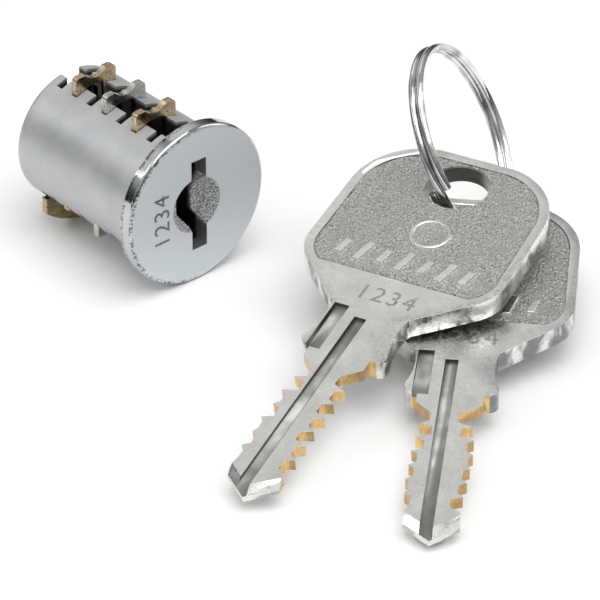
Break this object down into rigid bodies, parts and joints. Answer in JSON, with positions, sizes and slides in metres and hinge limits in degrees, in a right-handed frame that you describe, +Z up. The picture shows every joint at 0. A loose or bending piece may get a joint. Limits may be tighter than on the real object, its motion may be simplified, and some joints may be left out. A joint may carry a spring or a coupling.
{
  "type": "cam lock plug and keys",
  "caption": "Removable disc-tumbler lock plug with sprung wafers and a retaining plate, beside double-sided flat keys on a split ring.",
  "frame": {"origin": "on the plug's axis, in the plane of the flange's rear seat", "axes": "+Y along the plug, from its face towards its rear end; +Z up, along the upright keyway; +X to the right of someone who looks at the rear end from the face"},
  "size_m": [0.0544, 0.066, 0.0191],
  "materials": {
    "plug_nickel": "satin nickel plate on zinc casting",
    "wafer_brass": "stamped, bright",
    "wafer_steel": "stamped, nickel plated",
    "spring_steel": "drawn wire",
    "retainer_brass": "stamped, tarnished",
    "key_nickel": "tumbled nickel plate on brass",
    "ring_steel": "bright nickel plate on steel wire"
  },
  "bodies": {
    "plug": {"plug_body": "plug_nickel", "spring_1": "spring_steel", "spring_2": "spring_steel", "spring_3": "spring_steel", "spring_4": "spring_steel", "spring_5": "spring_steel", "spring_6": "spring_steel", "retainer_spring": "spring_steel"},
    "wafer_1": {"wafer_1": "wafer_brass"},
    "wafer_2": {"wafer_2": "wafer_brass"},
    "wafer_3": {"wafer_3": "wafer_steel"},
    "wafer_4": {"wafer_4": "wafer_steel"},
    "wafer_5": {"wafer_5": "wafer_brass"},
    "wafer_6": {"wafer_6": "wafer_steel"},
    "retaining_plate": {"retaining_plate": "retainer_brass"},
    "key_2": {"key_2": "key_nickel"},
    "key_1": {"key_1": "key_nickel"},
    "split_ring": {"split_ring": "ring_steel"}
  },
  "joints": [
    {"name": "wafer_1_slide", "type": "slide", "parent": "plug", "child": "wafer_1", "axis": [0, 0, 1], "range_m": [-0.00195, 0], "stiffness_N_per_m": 250, "springref_m": 0.001, "deforming": ["spring_1"]},
    {"name": "wafer_2_slide", "type": "slide", "parent": "plug", "child": "wafer_2", "axis": [0, 0, 1], "range_m": [0, 0.0014], "stiffness_N_per_m": 250, "springref_m": -0.001, "deforming": ["spring_2"]},
    {"name": "wafer_3_slide", "type": "slide", "parent": "plug", "child": "wafer_3", "axis": [0, 0, 1], "range_m": [-0.00195, 0], "stiffness_N_per_m": 250, "springref_m": 0.001, "deforming": ["spring_3"]},
    {"name": "wafer_4_slide", "type": "slide", "parent": "plug", "child": "wafer_4", "axis": [0, 0, 1], "range_m": [0, 0.0014], "stiffness_N_per_m": 250, "springref_m": -0.001, "deforming": ["spring_4"]},
    {"name": "wafer_5_slide", "type": "slide", "parent": "plug", "child": "wafer_5", "axis": [0, 0, 1], "range_m": [-0.00195, 0], "stiffness_N_per_m": 250, "springref_m": 0.001, "deforming": ["spring_5"]},
    {"name": "wafer_6_slide", "type": "slide", "parent": "plug", "child": "wafer_6", "axis": [0, 0, 1], "range_m": [0, 0.0014], "stiffness_N_per_m": 250, "springref_m": -0.001, "deforming": ["spring_6"]},
    {"name": "retaining_plate_slide", "type": "slide", "parent": "plug", "child": "retaining_plate", "axis": [0, 0, 1], "range_m": [0, 0.0016], "stiffness_N_per_m": 250, "springref_m": -0.001, "deforming": ["retainer_spring"]},
    {"name": "key_set_lift", "type": "slide", "parent": "plug", "child": "key_2", "axis": [0, 0, 1], "range_m": [0, 0.03]},
    {"name": "key_fan", "type": "hinge", "parent": "key_2", "child": "key_1", "pos_m": [0.0169, -0.01754, 0.00078], "axis": [-0.1655, -0.0636, 0.9842], "range_deg": [-8, 4]},
    {"name": "ring_turn", "type": "hinge", "parent": "key_2", "child": "split_ring", "pos_m": [0.02405, -0.01184, 0.00209], "axis": [0.499, -0.7317, 0.4643], "continuous": true}
  ]
}
